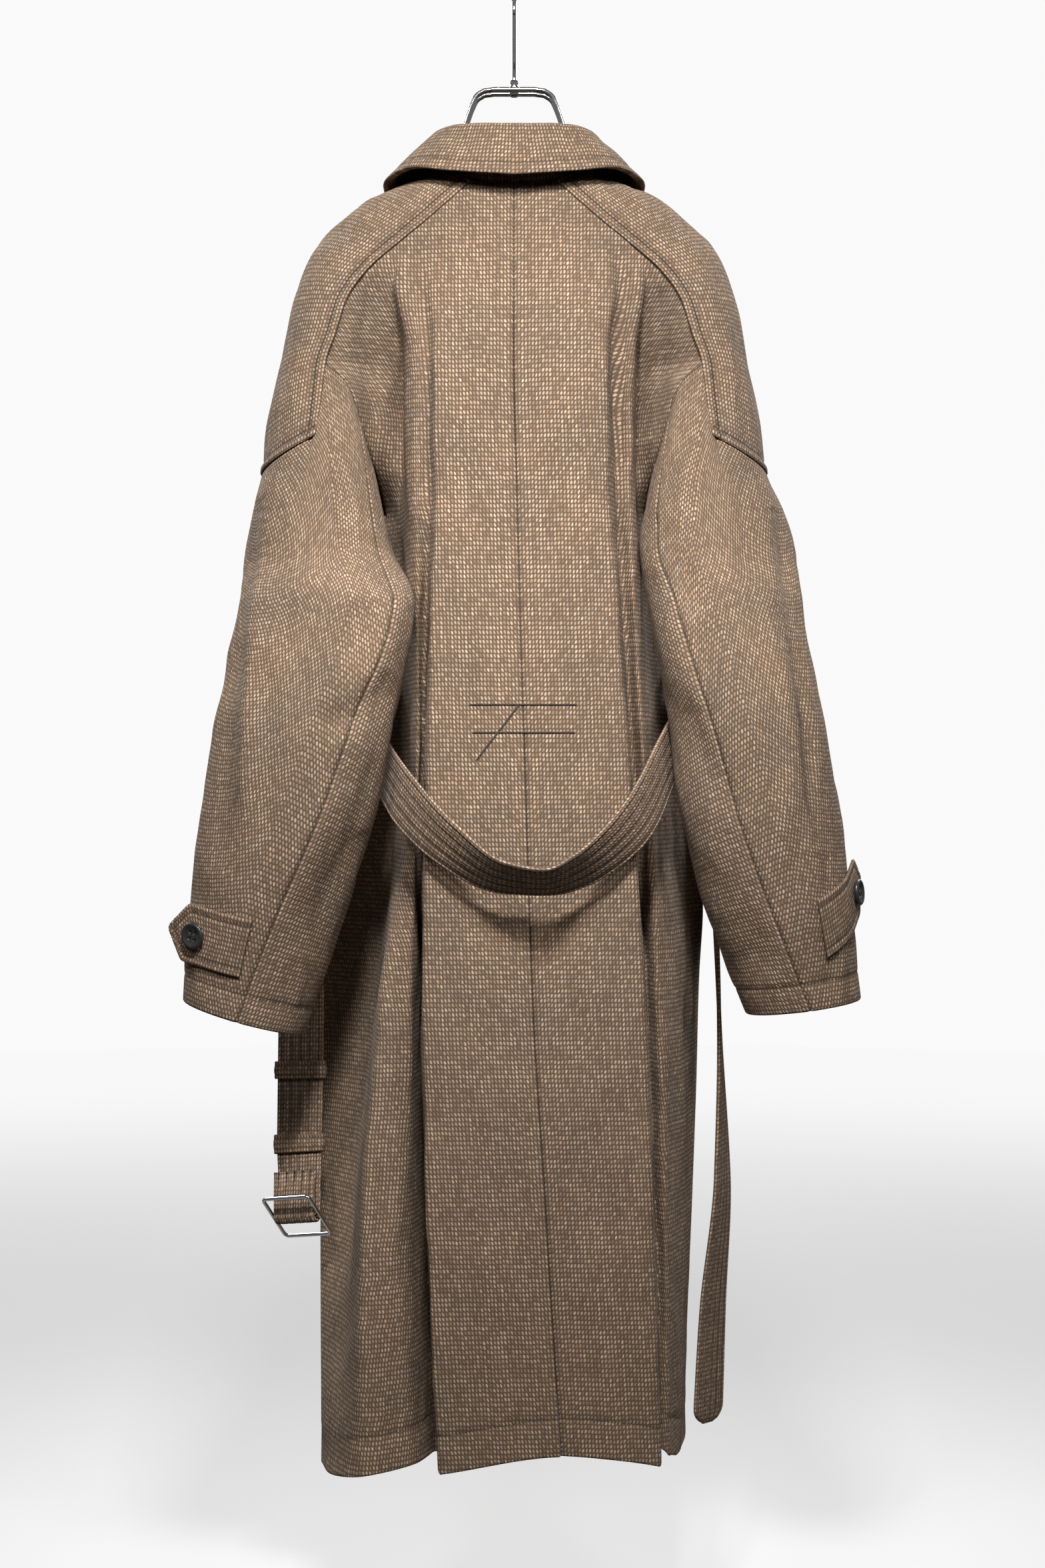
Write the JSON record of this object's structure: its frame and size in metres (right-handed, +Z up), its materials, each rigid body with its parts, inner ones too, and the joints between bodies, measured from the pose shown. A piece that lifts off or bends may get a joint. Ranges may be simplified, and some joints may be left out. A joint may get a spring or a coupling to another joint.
{
  "type": "balmacaan coat on a hanger",
  "caption": "Long tweed coat with raglan saddle shoulders, turned-down collar, cuff tabs, back vent and a loose belt, hung open-bottomed on a chrome wire hanger.",
  "frame": {"origin": "inside of the hanger hook's bend, at the point that rests on the rail", "axes": "+Z up, +Y the way the wearer would face (the coat's back faces -Y), +X the wearer's right"},
  "size_m": [0.6041, 0.326, 1.2896],
  "materials": {
    "tweed": "soft brushed tweed with beige slubs on a brown ground",
    "chrome": "bright polished chrome",
    "button_black": "dark satin, four holes"
  },
  "bodies": {
    "coat": {"back_left": "tweed", "back_right": "tweed", "vent_underlap": "tweed", "front_left": "tweed", "front_right": "tweed", "saddle_left": "tweed", "saddle_right": "tweed", "sleeve_outer_left": "tweed", "sleeve_outer_right": "tweed", "sleeve_under_left": "tweed", "sleeve_under_right": "tweed", "collar_stand": "tweed", "collar_fall": "tweed", "cuff_tab_left": "tweed", "cuff_tab_right": "tweed", "cuff_button_left": "button_black", "cuff_button_right": "button_black", "belt": "tweed", "belt_keeper_upper": "tweed", "belt_keeper_lower": "tweed", "belt_loop_left": "tweed", "belt_loop_right": "tweed", "hanger_frame": "chrome", "hanger_hook": "chrome"},
    "buckle": {"belt_buckle": "chrome"}
  },
  "joints": [
    {"name": "buckle_swing", "type": "hinge", "parent": "coat", "child": "buckle", "pos_m": [-0.19476, -0.00792, -1.09076], "axis": [-0.8331, 0.5332, -0.1472], "range_deg": [-90, 20]}
  ]
}
